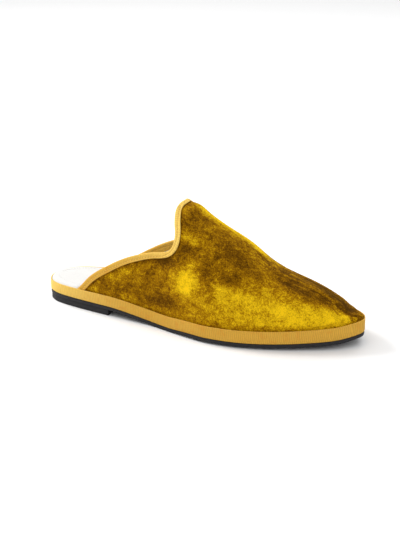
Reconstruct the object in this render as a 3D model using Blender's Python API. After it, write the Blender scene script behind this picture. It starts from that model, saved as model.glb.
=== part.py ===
# Babouche slipper with a pointed velvet vamp, for the right foot
# Axes: +X to the toe, +Y to the inner side of the foot, +Z up, in metres
# Origin: on the floor, under the middle of the slipper

import math
from collections import namedtuple

import bmesh
import bpy
import numpy as np

# Last and foot sizes
LENGTH = 0.2640
HEEL_WIDTH = 0.0570
BALL_WIDTH = 0.0865
INSTEP_HEIGHT = 0.0900
TOE_SWING = 0.0032

# Sole sizes
HEEL_LIFT_HEIGHT = 0.0046
HEEL_LIFT_LENGTH = 0.0655
HEEL_LIFT_INSET = 0.0008
RUBBER_THICKNESS = 0.0028
LUG_HEIGHT = 0.0012
LUG_LENGTH = 0.0065
LUG_PITCH = 0.0100
LUG_INSET = 0.0025
TOE_SPRING = 0.0060
RUBBER_INSET = 0.0004
FOOTBED_HEIGHT = 0.0090
FOOTBED_ROLL = 0.0010
ROLL_REACH = 0.0025
ROLL_MIDDLE = 0.3
FOOTBED_GAP = 0.00045

# Cloth sizes
WALL = 0.0018
WALL_AT_EDGE = 0.0012
EDGE_TAPER = 0.0120
RIBBON = 0.0006
BINDING_OUTSIDE = 0.0042
BINDING_INSIDE = 0.0055
FOLD_ROUND = 0.0003
BAND_THICKNESS = 0.0010
BAND_HEIGHT_HEEL = 0.0081
BAND_HEIGHT_TOE = 0.0102
BAND_EDGE = 0.0002
GAP = 0.0003
SOLE_GAP = 0.0004

# How finely the forms are divided
SOLE_STEPS = 52
RIDGE_ROWS = 22
TOPLINE_ROWS = 29
COLUMNS = 11
DOWN_STEPS = 4
FINE_STEPS = 400
TURNING_WEIGHT = 0.012
SHARP_ANGLE = 35.0
TINY = 1e-4
EDGE_STEP = 0.002
MERGE_DISTANCE = 1e-6
LOWEST_ANGLE = 0.004

# Half widths of the outline as shares of the heel width
Width = namedtuple("Width", "along outer inner")
HEEL_OUTLINE = (
    Width(0.02, 0.263, 0.263),
    Width(0.06, 0.379, 0.386),
    Width(0.12, 0.442, 0.467),
    Width(0.20, 0.495, 0.502),
    Width(0.30, 0.549, 0.502),
)
# Half widths of the outline as shares of the ball width
BALL_OUTLINE = (
    Width(0.40, 0.390, 0.330),
    Width(0.50, 0.467, 0.366),
    Width(0.60, 0.522, 0.439),
    Width(0.66, 0.513, 0.486),
    Width(0.72, 0.480, 0.510),
    Width(0.80, 0.408, 0.470),
    Width(0.88, 0.306, 0.386),
    Width(0.94, 0.214, 0.288),
    Width(0.98, 0.109, 0.155),
)
# Where the toe starts to swing inwards
SWING_START = 0.60

# Underside of the rubber: shares of the heel lift and of the toe spring
Level = namedtuple("Level", "along lift spring")
UNDERSIDE = (
    Level(0.000, 1.00, 0.00),
    Level(0.250, 1.00, 0.00),
    Level(0.310, 0.78, 0.00),
    Level(0.380, 0.30, 0.00),
    Level(0.440, 0.03, 0.00),
    Level(0.480, 0.00, 0.00),
    Level(0.660, 0.00, 0.00),
    Level(0.740, 0.00, 0.04),
    Level(0.820, 0.00, 0.17),
    Level(0.900, 0.00, 0.37),
    Level(0.950, 0.00, 0.59),
    Level(1.000, 0.00, 1.00),
)
# The lugs start behind the ball and end at the toe
LUG_START = 0.53
LUG_END = 0.975
LUG_RUN_IN = 0.08

# Height of the arch over the foot, as shares of the instep height
Arch = namedtuple("Arch", "along height fullness")
ARCHES = (
    Arch(0.00, 1.300, 0.00),
    Arch(0.25, 1.300, 0.00),
    Arch(0.38, 1.180, 0.06),
    Arch(0.46, 1.000, 0.16),
    Arch(0.48, 0.985, 0.15),
    Arch(0.50, 0.945, 0.13),
    Arch(0.56, 0.834, 0.08),
    Arch(0.64, 0.706, 0.05),
    Arch(0.70, 0.561, 0.05),
    Arch(0.76, 0.472, 0.06),
    Arch(0.82, 0.414, 0.08),
    Arch(0.87, 0.356, 0.10),
    Arch(0.92, 0.280, 0.12),
    Arch(0.96, 0.214, 0.14),
    Arch(1.00, 0.161, 0.16),
)

# Topline from the rear end to the peak: share of the length, and share of
# the quarter turn from the sole's edge up to the ridge
Topline = namedtuple("Topline", "along up")
OUTER_TOPLINE = (
    Topline(0.130, 0.032),
    Topline(0.150, 0.060),
    Topline(0.176, 0.103),
    Topline(0.210, 0.142),
    Topline(0.250, 0.180),
    Topline(0.305, 0.239),
    Topline(0.350, 0.290),
    Topline(0.400, 0.352),
    Topline(0.435, 0.408),
    Topline(0.458, 0.463),
    Topline(0.467, 0.520),
    Topline(0.466, 0.585),
    Topline(0.458, 0.650),
    Topline(0.4515, 0.720),
    Topline(0.4475, 0.800),
    Topline(0.4495, 0.900),
)
PEAK = Topline(0.4535, 1.000)
INNER_TOPLINE = (
    Topline(0.130, 0.032),
    Topline(0.150, 0.051),
    Topline(0.176, 0.075),
    Topline(0.210, 0.102),
    Topline(0.250, 0.136),
    Topline(0.305, 0.196),
    Topline(0.350, 0.252),
    Topline(0.400, 0.318),
    Topline(0.435, 0.382),
    Topline(0.458, 0.447),
    Topline(0.467, 0.518),
    Topline(0.466, 0.585),
    Topline(0.458, 0.650),
    Topline(0.4515, 0.720),
    Topline(0.4475, 0.800),
    Topline(0.4495, 0.900),
)
# Where the rows of the vamp's mesh stand on the sole's edge, from the peak's row
# to the rear end's, so that each meets the topline as squarely as it can
Foot = namedtuple("Foot", "share along")
ROW_FEET = (
    Foot(0.00, 0.660),
    Foot(0.15, 0.625),
    Foot(0.26, 0.590),
    Foot(0.37, 0.545),
    Foot(0.48, 0.490),
    Foot(0.63, 0.400),
    Foot(0.80, 0.285),
    Foot(1.00, 0.162),
)
# The binding's ends tuck in behind the sole band up to here
TUCK_FULL = 0.165
TUCK_END = 0.240
# The footbed steps in here to make room for the upper
FOOTBED_STEP_START = 0.116
FOOTBED_STEP_END = 0.126
# Limits that keep the footbed's edge in shape at the toe tip
STEEPEST_SIDE = 0.95
NARROWEST_TOP = 0.8

COLLECTION_NAME = "babouche_slipper"


def pchip(places, values):
    """Return a smooth function through the rows of a table, without overshoot."""
    x = np.array(places, float)
    y = np.array(values, float)
    step = np.diff(x)
    rise = np.diff(y) / step
    slope = np.zeros(len(x))
    slope[0] = rise[0]
    slope[-1] = rise[-1]
    for i in range(1, len(x) - 1):
        if rise[i - 1] * rise[i] > 0.0:
            weight_a = 2.0 * step[i] + step[i - 1]
            weight_b = step[i] + 2.0 * step[i - 1]
            slope[i] = (weight_a + weight_b) / (weight_a / rise[i - 1] + weight_b / rise[i])

    def value(place):
        place = min(max(place, x[0]), x[-1])
        i = min(int(np.searchsorted(x, place, side="right")) - 1, len(x) - 2)
        t = (place - x[i]) / step[i]
        bend_a = (1.0 + 2.0 * t) * (1.0 - t) ** 2 * y[i] + t * (1.0 - t) ** 2 * step[i] * slope[i]
        bend_b = t * t * (3.0 - 2.0 * t) * y[i + 1] + t * t * (t - 1.0) * step[i] * slope[i + 1]
        return bend_a + bend_b

    return value


def ramp(value, start, end):
    """Go smoothly from 0 at start to 1 at end."""
    t = min(max((value - start) / (end - start), 0.0), 1.0)
    return t * t * (3.0 - 2.0 * t)


def turn_at(along):
    """Turn a share of the length into an angle that spaces stations closer at the ends."""
    return math.acos(1.0 - 2.0 * min(max(along, 0.0), 1.0))


def along_at(turn):
    return (1.0 - math.cos(turn)) / 2.0


def share_of_length(x):
    return x / LENGTH + 0.5


def side_width(side):
    """Half width of one side against the station angle."""
    turns = [0.0]
    widths = [0.0]
    for row in HEEL_OUTLINE:
        turns.append(turn_at(row.along))
        widths.append(getattr(row, side) * HEEL_WIDTH)
    for row in BALL_OUTLINE:
        turns.append(turn_at(row.along))
        widths.append(getattr(row, side) * BALL_WIDTH)
    turns.append(math.pi)
    widths.append(0.0)
    return pchip(turns, widths)


OUTER_WIDTH = side_width("outer")
INNER_WIDTH = side_width("inner")


def middle(along):
    """Sideways place of the line from heel to toe tip."""
    swing = min(max((along - SWING_START) / (1.0 - SWING_START), 0.0), 1.0)
    return TOE_SWING * swing * swing


def raw_edge_y(station):
    turn = abs(station)
    if station < 0.0:
        return middle(along_at(turn)) - OUTER_WIDTH(turn)
    return middle(along_at(turn)) + INNER_WIDTH(turn)


def centre_y():
    """Middle of the outline's width, which the origin stands on."""
    stations = np.linspace(-math.pi, math.pi, 2 * FINE_STEPS)
    sides = [raw_edge_y(station) for station in stations]
    return (max(sides) + min(sides)) / 2.0


CENTRE_Y = centre_y()


def edge(station):
    """Outline of the whole sole: 0 is the heel, a half turn the toe, minus is the outer side."""
    station = (station + math.pi) % (2.0 * math.pi) - math.pi
    x = (along_at(abs(station)) - 0.5) * LENGTH
    return np.array([x, raw_edge_y(station) - CENTRE_Y])


def inset_edge(station, inset):
    """A point of the outline moved inwards, square to the edge."""
    ahead = edge(station + EDGE_STEP)
    behind = edge(station - EDGE_STEP)
    run = (ahead - behind) / np.linalg.norm(ahead - behind)
    return edge(station) + inset * np.array([run[1], -run[0]])


LIFT_SHARE = pchip([row.along for row in UNDERSIDE], [row.lift for row in UNDERSIDE])
SPRING_SHARE = pchip([row.along for row in UNDERSIDE], [row.spring for row in UNDERSIDE])
ARCH_TURNS = [turn_at(row.along) for row in ARCHES]
ARCH_HEIGHT = pchip(ARCH_TURNS, [row.height for row in ARCHES])
ARCH_FULLNESS = pchip(ARCH_TURNS, [row.fullness for row in ARCHES])


def rubber_under(x):
    """Height of the rubber sheet's underside, between the lugs."""
    along = share_of_length(x)
    rear = LIFT_SHARE(along) * (HEEL_LIFT_HEIGHT + GAP)
    front = SPRING_SHARE(along) * TOE_SPRING
    return rear + front + LUG_HEIGHT * ramp(along, LUG_START - LUG_RUN_IN, LUG_START)


def rubber_top(x):
    return rubber_under(x) + RUBBER_THICKNESS


def cloth_base(x):
    """Height where band, upper and footbed start, just above the rubber."""
    return rubber_top(x) + SOLE_GAP


def band_top(x):
    height = BAND_HEIGHT_HEEL + (BAND_HEIGHT_TOE - BAND_HEIGHT_HEEL) * share_of_length(x)
    return cloth_base(x) + height


def skin_inset(along):
    """Distance from the outline to the upper's outer face at its foot."""
    tuck = 1.0 - ramp(along, TUCK_FULL, TUCK_END)
    return BAND_THICKNESS + GAP + (RIBBON + GAP / 2.0) * tuck


def skin(turn, angle, depth):
    """A point of the upper: station, angle over the arch, and depth below the outer face."""
    along = along_at(turn)
    inset = skin_inset(along) + depth
    outer_foot = inset_edge(-turn, inset)
    inner_foot = inset_edge(turn, inset)
    ridge_x = (outer_foot[0] + inner_foot[0]) / 2.0
    ridge_y = middle(along) - CENTRE_Y
    spread = math.cos(angle)
    foot = outer_foot if spread > 0.0 else inner_foot
    fullness = ARCH_FULLNESS(turn)
    reach = abs(spread) * (1.0 + fullness * math.sin(angle) ** 2)
    x = ridge_x + (foot[0] - ridge_x) * abs(spread)
    y = ridge_y + (foot[1] - ridge_y) * reach
    rise = (ARCH_HEIGHT(turn) * INSTEP_HEIGHT - depth) * math.sin(angle)
    return np.array([x, y, cloth_base(x) + rise])


def topline_course():
    """Topline from the outer rear end over the peak to the inner rear end."""
    rows = [(turn_at(row.along), row.up * math.pi / 2.0) for row in OUTER_TOPLINE]
    rows.append((turn_at(PEAK.along), PEAK.up * math.pi / 2.0))
    for row in reversed(INNER_TOPLINE):
        rows.append((turn_at(row.along), math.pi - row.up * math.pi / 2.0))
    points = [skin(turn, angle, 0.0) for turn, angle in rows]
    places = [0.0]
    for here, there in zip(points, points[1:]):
        places.append(places[-1] + np.linalg.norm(there - here))
    turn_curve = pchip(places, [row[0] for row in rows])
    angle_curve = pchip(places, [row[1] for row in rows])
    return places, turn_curve, angle_curve


TOPLINE_PLACES, TOPLINE_TURN, TOPLINE_ANGLE = topline_course()
PEAK_PLACE = TOPLINE_PLACES[len(OUTER_TOPLINE)]


def topline_point(place):
    return skin(TOPLINE_TURN(place), TOPLINE_ANGLE(place), 0.0)


def spaced_places(start, end, count):
    """Places along the topline, closer together where it turns."""
    fine = np.linspace(start, end, FINE_STEPS)
    points = [topline_point(place) for place in fine]
    runs = [there - here for here, there in zip(points, points[1:])]
    measure = [0.0]
    for i, run in enumerate(runs):
        before = runs[max(i - 1, 0)]
        cosine = np.dot(run, before) / (np.linalg.norm(run) * np.linalg.norm(before))
        bend = math.acos(min(max(cosine, -1.0), 1.0))
        measure.append(measure[-1] + np.linalg.norm(run) + TURNING_WEIGHT * bend)
    wanted = np.linspace(0.0, measure[-1], count + 1)
    return [float(place) for place in np.interp(wanted, measure, fine)]


def step_from_edge(turn, angle, direction, length):
    """Move over the skin from one point in a given direction by a short length."""
    here = skin(turn, angle, 0.0)
    by_turn = (skin(turn + TINY, angle, 0.0) - here) / TINY
    by_angle = (skin(turn, angle + TINY, 0.0) - here) / TINY
    slopes = np.stack([by_turn, by_angle], axis=1)
    move = np.linalg.lstsq(slopes, direction * length, rcond=None)[0]
    return turn + move[0], angle + move[1]


class EdgeSection:
    """The skin close to one place of the topline, square to it."""

    def __init__(self, place):
        turn = TOPLINE_TURN(place)
        angle = TOPLINE_ANGLE(place)
        along_run = topline_point(place + TINY) - topline_point(place - TINY)
        self.run = along_run / np.linalg.norm(along_run)
        out = skin(turn, angle, -TINY) - skin(turn, angle, TINY)
        out = out - np.dot(out, self.run) * self.run
        self.out = out / np.linalg.norm(out)
        self.away = np.cross(self.out, self.run)
        self.start = (turn, angle)

    def down(self, length):
        """Station and angle at a distance below the topline."""
        turn, angle = self.start
        on_ridge = abs(angle - math.pi / 2.0) < TINY
        for _ in range(DOWN_STEPS):
            turn, angle = step_from_edge(turn, angle, -self.away, length / DOWN_STEPS)
            angle = min(max(angle, LOWEST_ANGLE), math.pi - LOWEST_ANGLE)
            if on_ridge:
                angle = math.pi / 2.0
        return turn, angle

    def face(self, length, depth):
        """A point at a distance below the topline and a depth in the wall."""
        turn, angle = self.down(length)
        return skin(turn, angle, depth)


def edge_recess(distance):
    """How far each face of the wall steps back near the topline."""
    return (WALL - WALL_AT_EDGE) / 2.0 * (1.0 - ramp(distance, 0.0, EDGE_TAPER))


def add_object(name, mesh, material):
    part = bpy.data.objects.new(name, mesh)
    PARTS.objects.link(part)
    mesh.materials.append(material)
    mesh.shade_smooth()
    mesh.set_sharp_from_angle(angle=math.radians(SHARP_ANGLE))
    return part


def make_material(name, colour, roughness):
    material = bpy.data.materials.new(name)
    material.use_nodes = True
    shader = material.node_tree.nodes["Principled BSDF"]
    shader.inputs["Base Color"].default_value = (*colour, 1.0)
    shader.inputs["Roughness"].default_value = roughness
    shader.inputs["Metallic"].default_value = 0.0
    return material


def mesh_from_faces(name, corners, faces):
    """Build a closed mesh, merging the corners that meet at a tip."""
    mesh = bpy.data.meshes.new(name)
    mesh.from_pydata([tuple(point) for point in corners], [], faces)
    shape = bmesh.new()
    shape.from_mesh(mesh)
    bmesh.ops.remove_doubles(shape, verts=shape.verts, dist=MERGE_DISTANCE)
    bmesh.ops.dissolve_degenerate(shape, dist=MERGE_DISTANCE, edges=shape.edges)
    bmesh.ops.recalc_face_normals(shape, faces=shape.faces)
    shape.to_mesh(mesh)
    shape.free()
    return mesh


def halves(a, b, c, d):
    """Split a four-cornered face from its first to its third corner."""
    return [(a, b, c), (a, c, d)]


def loft(name, sections, closed=False, capped=False, turned=None):
    """Skin a row of sections, each a ring of corners in the same order."""
    corners = [point for section in sections for point in section]
    size = len(sections[0])
    count = len(sections)
    faces = []
    last = count if closed else count - 1
    for i in range(last):
        for j in range(size):
            here = i * size
            there = ((i + 1) % count) * size
            after = (j + 1) % size
            face = (here + j, here + after, there + after, there + j)
            if turned and turned(i, j, after):
                face = face[1:] + face[:1]
            faces.extend(halves(*face))
    if capped:
        faces.append(tuple(range(size)))
        faces.append(tuple(reversed(range((count - 1) * size, count * size))))
    return mesh_from_faces(name, corners, faces)


def sole_stations(start, end, extra=()):
    """Station angles from start to end as shares of the length, with extra shares between."""
    turns = list(np.linspace(turn_at(start), turn_at(end), SOLE_STEPS + 1))
    turns.extend(turn_at(along) for along in extra)
    return sorted(turns)


def lug_edges():
    """Shares of the length where the cross lugs start and end."""
    edges = []
    place = LUG_START * LENGTH
    while place + LUG_LENGTH < LUG_END * LENGTH:
        edges.append((place / LENGTH, (place + LUG_LENGTH) / LENGTH))
        place += LUG_PITCH
    return edges


def corner(station, inset, level, drop=0.0):
    """A corner of the sole on one side, at the height that level gives there."""
    x, y = inset_edge(station, inset)
    return (x, y, level(x) + drop)


def outsole_section(turn, lug_drop):
    """Ring of corners across the rubber, with a lug under it."""
    lug_inset = RUBBER_INSET + LUG_INSET
    return [
        corner(-turn, RUBBER_INSET, rubber_top),
        corner(-turn, RUBBER_INSET, rubber_under),
        corner(-turn, lug_inset, rubber_under),
        corner(-turn, lug_inset, rubber_under, lug_drop),
        corner(turn, lug_inset, rubber_under, lug_drop),
        corner(turn, lug_inset, rubber_under),
        corner(turn, RUBBER_INSET, rubber_under),
        corner(turn, RUBBER_INSET, rubber_top),
    ]


def make_outsole():
    """Rubber sheet with an arch, a toe spring and cross lugs under the forefoot."""
    marks = [(turn, "") for turn in sole_stations(0.0, 1.0)]
    for start, end in lug_edges():
        marks.append((turn_at(start), "start"))
        marks.append((turn_at(end), "end"))
    sections = []
    drop = 0.0
    for turn, mark in sorted(marks):
        sections.append(outsole_section(turn, drop))
        if mark:
            drop = -LUG_HEIGHT if mark == "start" else 0.0
            sections.append(outsole_section(turn, drop))
    mesh = loft("outsole", sections)
    return add_object("outsole", mesh, RUBBER_BLACK)


def floor_level(x):
    return 0.0


def heel_lift_top(x):
    return HEEL_LIFT_HEIGHT


def make_heel_lift():
    """Rubber patch under the heel, cut straight across at its front."""
    sections = []
    for turn in sole_stations(0.0, HEEL_LIFT_LENGTH / LENGTH)[::2]:
        sections.append([
            corner(-turn, HEEL_LIFT_INSET, heel_lift_top),
            corner(-turn, HEEL_LIFT_INSET, floor_level),
            corner(turn, HEEL_LIFT_INSET, floor_level),
            corner(turn, HEEL_LIFT_INSET, heel_lift_top),
        ])
    mesh = loft("heel_lift", sections)
    close_ends(mesh)
    return add_object("heel_lift", mesh, RUBBER_BLACK)


def close_ends(mesh):
    """Fill the open ends of a loft."""
    shape = bmesh.new()
    shape.from_mesh(mesh)
    open_edges = [side for side in shape.edges if side.is_boundary]
    bmesh.ops.holes_fill(shape, edges=open_edges)
    bmesh.ops.recalc_face_normals(shape, faces=shape.faces)
    shape.to_mesh(mesh)
    shape.free()


def footbed_inset(along):
    """Room that the footbed leaves for the band, and for the upper where there is one."""
    bare = BAND_THICKNESS + GAP
    tuck = 1.0 - ramp(along, TUCK_FULL, TUCK_END)
    full = skin_inset(along) + WALL + FOOTBED_GAP + (RIBBON + GAP) * tuck
    return bare + (full - bare) * ramp(along, FOOTBED_STEP_START, FOOTBED_STEP_END)


def footbed_side(turn, flip, height):
    """A corner of the footbed's side, which leans in under the arch of the upper."""
    along = along_at(turn)
    depth = footbed_inset(along) - skin_inset(along)
    arch = ARCH_HEIGHT(turn) * INSTEP_HEIGHT - depth
    angle = math.asin(min(height / arch, STEEPEST_SIDE))
    return skin(turn, math.pi - angle if flip else angle, depth)


def footbed_top(turn, flip, reach):
    """A corner of the footbed's top, at a distance in from its rolled edge."""
    side = footbed_side(turn, flip, FOOTBED_HEIGHT - FOOTBED_ROLL)
    centre = (side + footbed_side(turn, not flip, FOOTBED_HEIGHT - FOOTBED_ROLL)) / 2.0
    half = np.linalg.norm(side - centre)
    inwards = min(reach, NARROWEST_TOP * half)
    rise = FOOTBED_ROLL * math.sin(min(inwards / ROLL_REACH, 1.0) * math.pi / 2.0)
    point = side + (centre - side) * (inwards / half if half > TINY else 0.0)
    return point + np.array([0.0, 0.0, rise])


def make_insole():
    """Thick quilted footbed that fills the shoe up to the foot, with a rolled edge."""
    side_height = FOOTBED_HEIGHT - FOOTBED_ROLL
    sections = []
    for turn in sole_stations(0.0, 1.0, (FOOTBED_STEP_START, FOOTBED_STEP_END)):
        sections.append([
            footbed_side(turn, False, side_height),
            footbed_side(turn, False, 0.0),
            footbed_side(turn, True, 0.0),
            footbed_side(turn, True, side_height),
            footbed_top(turn, True, ROLL_REACH * ROLL_MIDDLE),
            footbed_top(turn, True, ROLL_REACH),
            footbed_top(turn, False, ROLL_REACH),
            footbed_top(turn, False, ROLL_REACH * ROLL_MIDDLE),
        ])
    mesh = loft("insole", sections)
    close_ends(mesh)
    return add_object("insole", mesh, LINING_WHITE)


def make_sole_band():
    """Ribbon round the whole sole, over the foot of the upper."""
    sections = []
    for station in np.linspace(-math.pi, math.pi, 2 * SOLE_STEPS, endpoint=False):
        sections.append([
            corner(station, 0.0, cloth_base),
            corner(station, 0.0, band_top, -BAND_EDGE),
            corner(station, BAND_EDGE, band_top),
            corner(station, BAND_THICKNESS - BAND_EDGE, band_top),
            corner(station, BAND_THICKNESS, band_top, -BAND_EDGE),
            corner(station, BAND_THICKNESS, cloth_base),
        ])
    mesh = loft("sole_band", sections, closed=True)
    return add_object("sole_band", mesh, RIBBON_OCHRE)


# Distances below the topline where the wall and its binding are both divided
INSIDE_STEPS = (BINDING_INSIDE, BINDING_OUTSIDE, BINDING_OUTSIDE / 2.0, 0.0)
OUTSIDE_STEPS = INSIDE_STEPS[1:]


def straight_row(foot, end, count):
    """Stations and angles from a foot point towards an end point, without the end."""
    row = []
    for i in range(count):
        share = i / count
        row.append((foot[0] + (end[0] - foot[0]) * share, foot[1] + (end[1] - foot[1]) * share))
    return row


def topline_sections(end):
    """Sections square to the topline from the peak to one rear end."""
    return [EdgeSection(place) for place in spaced_places(PEAK_PLACE, end, TOPLINE_ROWS)]


def wall_rows(foot_angle, sections):
    """Rows of one side of the upper, from the toe tip round to the rear end."""
    peak_end = sections[0].down(BINDING_INSIDE)
    peak_foot = turn_at(ROW_FEET[0].along)
    foot_along = pchip([row.share for row in ROW_FEET], [row.along for row in ROW_FEET])
    rows = []
    for i in range(RIDGE_ROWS):
        share = i / RIDGE_ROWS
        foot = (math.pi + (peak_foot - math.pi) * share, foot_angle)
        end = (math.pi + (peak_end[0] - math.pi) * share, math.pi / 2.0)
        row = straight_row(foot, end, COLUMNS) + [end]
        rows.append([(turn, angle, EDGE_TAPER) for turn, angle in row])
    for i, section in enumerate(sections):
        along = foot_along(i / TOPLINE_ROWS)
        tail = [(*section.down(length), length) for length in INSIDE_STEPS]
        body = straight_row((turn_at(along), foot_angle), tail[0][:2], COLUMNS)
        rows.append([(turn, angle, EDGE_TAPER) for turn, angle in body] + tail)
    return rows


def wall_faces(rows, start):
    """Corners and faces of both sides of the wall, with its open edges closed."""
    corners = []
    index = {}
    for side in ("front", "back"):
        for i, row in enumerate(rows):
            for j, (turn, angle, distance) in enumerate(row):
                recess = edge_recess(distance)
                depth = recess if side == "front" else WALL - recess
                index[side, i, j] = start + len(corners)
                corners.append(skin(turn, angle, depth))
    faces = []
    for i in range(len(rows) - 1):
        width = min(len(rows[i]), len(rows[i + 1])) - 1
        for j in range(width):
            front = [index["front", i + p, j + q] for p, q in ((0, 0), (0, 1), (1, 1), (1, 0))]
            back = [index["back", i + p, j + q] for p, q in ((0, 0), (1, 0), (1, 1), (0, 1))]
            if i < RIDGE_ROWS:
                # The first row is one line for both sides, so no half may lie on it alone
                front = front[1:] + front[:1]
                back = back[1:] + back[:1]
            faces.extend(halves(*front))
            faces.extend(halves(*back))
        rims = [0] if i < RIDGE_ROWS else [0, width]
        for j in rims:
            faces.append((
                index["front", i, j],
                index["back", i, j],
                index["back", i + 1, j],
                index["front", i + 1, j],
            ))
    last = len(rows) - 1
    for j in range(len(rows[last]) - 1):
        faces.append((
            index["front", last, j],
            index["front", last, j + 1],
            index["back", last, j + 1],
            index["back", last, j],
        ))
    return corners, faces


def make_upper(outer_sections, inner_sections):
    """Hollow velvet upper: one wall with its lining, open at the collar and underneath."""
    corners, faces = wall_faces(wall_rows(0.0, outer_sections), 0)
    more_corners, more_faces = wall_faces(wall_rows(math.pi, inner_sections), len(corners))
    mesh = mesh_from_faces("upper", corners + more_corners, faces + more_faces)
    return add_object("upper", mesh, VELVET_GOLD)


def binding_leg(section, lengths, inner_side, lift):
    """Corners of one leg of the ribbon, at a lift off the wall's face."""
    points = []
    for length in lengths:
        recess = edge_recess(length)
        depth = WALL - recess + lift if inner_side else recess - lift
        points.append(section.face(length, depth))
    return points


def binding_section(section):
    """Ring of corners round the ribbon where it folds over the topline."""
    over = GAP + RIBBON
    recess = edge_recess(0.0)
    rising = tuple(reversed(INSIDE_STEPS))
    front = section.face(0.0, recess - over)
    back = section.face(0.0, WALL - recess + over)
    ring = binding_leg(section, OUTSIDE_STEPS, False, over)
    for eighth in (1, 2, 3):
        angle = eighth * math.pi / 4.0
        across = (front + back) / 2.0 + (front - back) / 2.0 * math.cos(angle)
        ring.append(across + section.away * math.sin(angle) * (over + FOLD_ROUND))
    ring += binding_leg(section, rising, True, over)
    ring += binding_leg(section, INSIDE_STEPS, True, GAP)
    ring.append(section.face(0.0, WALL - recess + GAP) + section.away * GAP)
    ring.append(section.face(0.0, recess - GAP) + section.away * GAP)
    ring += binding_leg(section, reversed(OUTSIDE_STEPS), False, GAP)
    return ring


def binding_distances():
    """Distance below the topline of each corner of the binding's ring."""
    rising = tuple(reversed(INSIDE_STEPS))
    fold = (0.0,)
    return OUTSIDE_STEPS + fold * 3 + rising + INSIDE_STEPS + fold * 2 + tuple(reversed(OUTSIDE_STEPS))


def make_topline_binding(outer_sections, inner_sections):
    """Ribbon folded over the topline, from one rear end over the peak to the other."""
    rings = [binding_section(section) for section in reversed(outer_sections)]
    rings += [binding_section(section) for section in inner_sections[1:]]
    distances = binding_distances()

    def turned(i, j, after):
        """Match the wall's split: from the peak's side lower down to the far side higher up."""
        outer_side = i < TOPLINE_ROWS
        return outer_side != (distances[after] > distances[j])

    mesh = loft("topline_binding", rings, capped=True, turned=turned)
    return add_object("topline_binding", mesh, RIBBON_OCHRE)


for leftover in list(bpy.data.objects):
    bpy.data.objects.remove(leftover, do_unlink=True)

PARTS = bpy.data.collections.new(COLLECTION_NAME)
bpy.context.scene.collection.children.link(PARTS)

VELVET_GOLD = make_material("velvet_gold", (0.43, 0.24, 0.012), 0.85)
RIBBON_OCHRE = make_material("ribbon_ochre", (0.68, 0.36, 0.10), 0.75)
RUBBER_BLACK = make_material("rubber_black", (0.035, 0.035, 0.04), 0.6)
LINING_WHITE = make_material("lining_white", (0.80, 0.78, 0.75), 0.9)

make_outsole()
make_heel_lift()
make_insole()
make_sole_band()
OUTER_SECTIONS = topline_sections(0.0)
INNER_SECTIONS = topline_sections(TOPLINE_PLACES[-1])
make_upper(OUTER_SECTIONS, INNER_SECTIONS)
make_topline_binding(OUTER_SECTIONS, INNER_SECTIONS)
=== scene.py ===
# Looks of the velvet babouche slipper: cloth, ribbon, rubber, stage, light and camera
# Lengths are in metres; tables that say so are in millimetres of the shoe's own frame
# +X points to the toe, +Y to the inner side of the right foot, +Z up

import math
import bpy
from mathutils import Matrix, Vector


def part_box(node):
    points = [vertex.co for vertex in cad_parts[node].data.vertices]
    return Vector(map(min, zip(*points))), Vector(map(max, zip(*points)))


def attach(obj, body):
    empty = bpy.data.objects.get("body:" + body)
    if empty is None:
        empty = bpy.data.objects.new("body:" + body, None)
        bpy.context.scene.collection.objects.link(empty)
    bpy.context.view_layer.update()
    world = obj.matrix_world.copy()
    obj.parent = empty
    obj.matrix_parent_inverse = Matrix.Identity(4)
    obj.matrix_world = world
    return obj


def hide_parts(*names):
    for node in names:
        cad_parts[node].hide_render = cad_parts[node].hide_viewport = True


bl_info = {
    "name": "Velvet slipper looks",
    "version": (1, 0, 0),
    "blender": (4, 5, 0),
    "location": "View3D > Sidebar > Slipper",
    "description": "Dresses the slipper's solids in velvet, ribbon, lining and rubber",
    "category": "Object",
}

from collections import namedtuple

import bpy
import numpy as np
from bpy.props import FloatProperty, FloatVectorProperty, IntProperty, PointerProperty
from mathutils import Matrix, Vector
from mathutils.kdtree import KDTree

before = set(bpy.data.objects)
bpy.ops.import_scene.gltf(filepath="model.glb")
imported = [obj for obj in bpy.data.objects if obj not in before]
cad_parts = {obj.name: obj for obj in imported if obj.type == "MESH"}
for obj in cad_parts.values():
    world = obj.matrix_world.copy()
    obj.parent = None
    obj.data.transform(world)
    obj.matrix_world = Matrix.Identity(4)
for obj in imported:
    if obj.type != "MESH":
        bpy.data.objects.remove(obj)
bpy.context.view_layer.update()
# One millimetre, for the tables that are in millimetres
MM = 0.001
BODY = "root"

LOW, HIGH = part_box("outsole")
SHOE_LENGTH = HIGH.x - LOW.x
# Points nearer than this are one, and triangles that meet within these angles become quads
MERGE_DISTANCE = 0.00001
QUAD_ANGLE = math.radians(60.0)
QUAD_SHAPE = math.radians(80.0)
# Edges sharper than this stay sharp: on cloth and ribbon, and on rubber
SHARP_ANGLE = math.radians(66.0)
RUBBER_ANGLE = math.radians(40.0)


# Materials
class Wire:
    """One output of a material's node, with arithmetic that adds Math nodes."""

    def __init__(self, tree, socket):
        self.tree = tree
        self.socket = socket

    def math(self, operation, *values, clamp=False):
        node = self.tree.nodes.new("ShaderNodeMath")
        node.operation = operation
        node.use_clamp = clamp
        for socket, value in zip(node.inputs, values):
            feed(self.tree, socket, value)
        return Wire(self.tree, node.outputs[0])

    def __add__(self, other):
        return self.math("ADD", self, other)

    def __radd__(self, other):
        return self.math("ADD", other, self)

    def __sub__(self, other):
        return self.math("SUBTRACT", self, other)

    def __rsub__(self, other):
        return self.math("SUBTRACT", other, self)

    def __mul__(self, other):
        return self.math("MULTIPLY", self, other)

    def __rmul__(self, other):
        return self.math("MULTIPLY", other, self)

    def size(self):
        return self.math("ABSOLUTE", self)

    def sine(self):
        return self.math("SINE", self)

    def clamped(self):
        return self.math("ADD", self, 0.0, clamp=True)


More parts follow.
